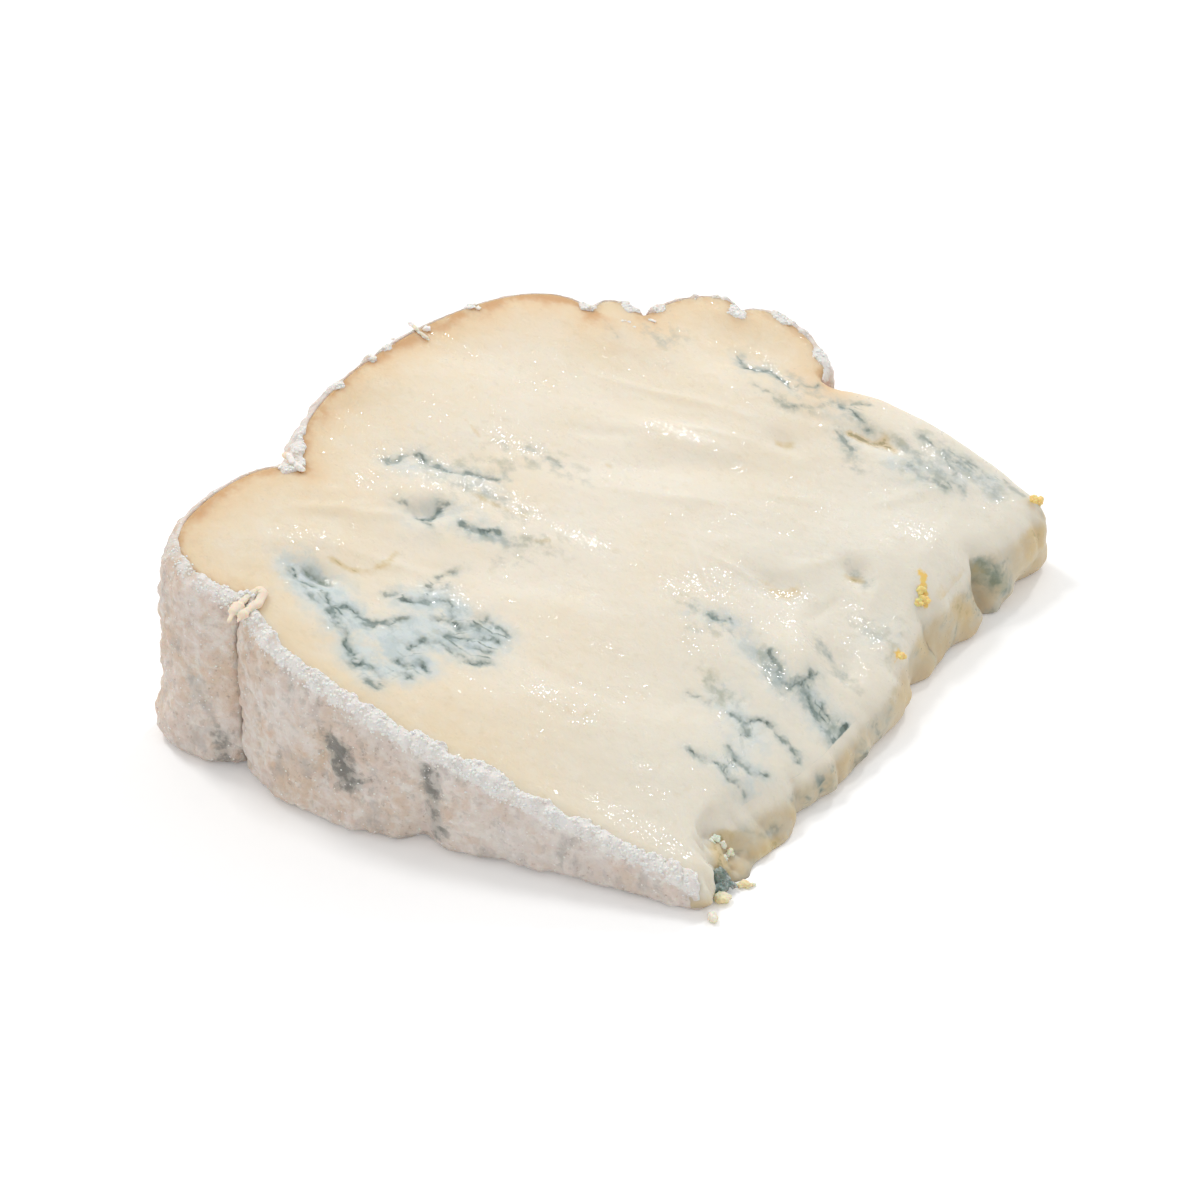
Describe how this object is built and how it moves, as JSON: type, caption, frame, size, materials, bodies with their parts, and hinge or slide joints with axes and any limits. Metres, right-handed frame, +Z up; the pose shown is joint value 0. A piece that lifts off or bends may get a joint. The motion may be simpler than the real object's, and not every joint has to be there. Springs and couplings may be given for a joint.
{
  "type": "blue cheese wedge",
  "caption": "Slice of soft, blue-veined cheese with a lobed powdery rind and an oozing cut edge, lying on its cut face as food to serve or sell.",
  "frame": {"origin": "under the middle of the slice, on the surface that it lies on", "axes": "+Z up, square to the cut face it lies on; +Y across the wheel, from the flat face with rind to the flat face without; +X from the wheel's rim to its middle"},
  "size_m": [0.11, 0.1352, 0.0454],
  "materials": {
    "paste": "moist, softly glossy",
    "rind": "powdery, matte"
  },
  "bodies": {
    "root": {"wedge": "paste"}
  },
  "joints": []
}
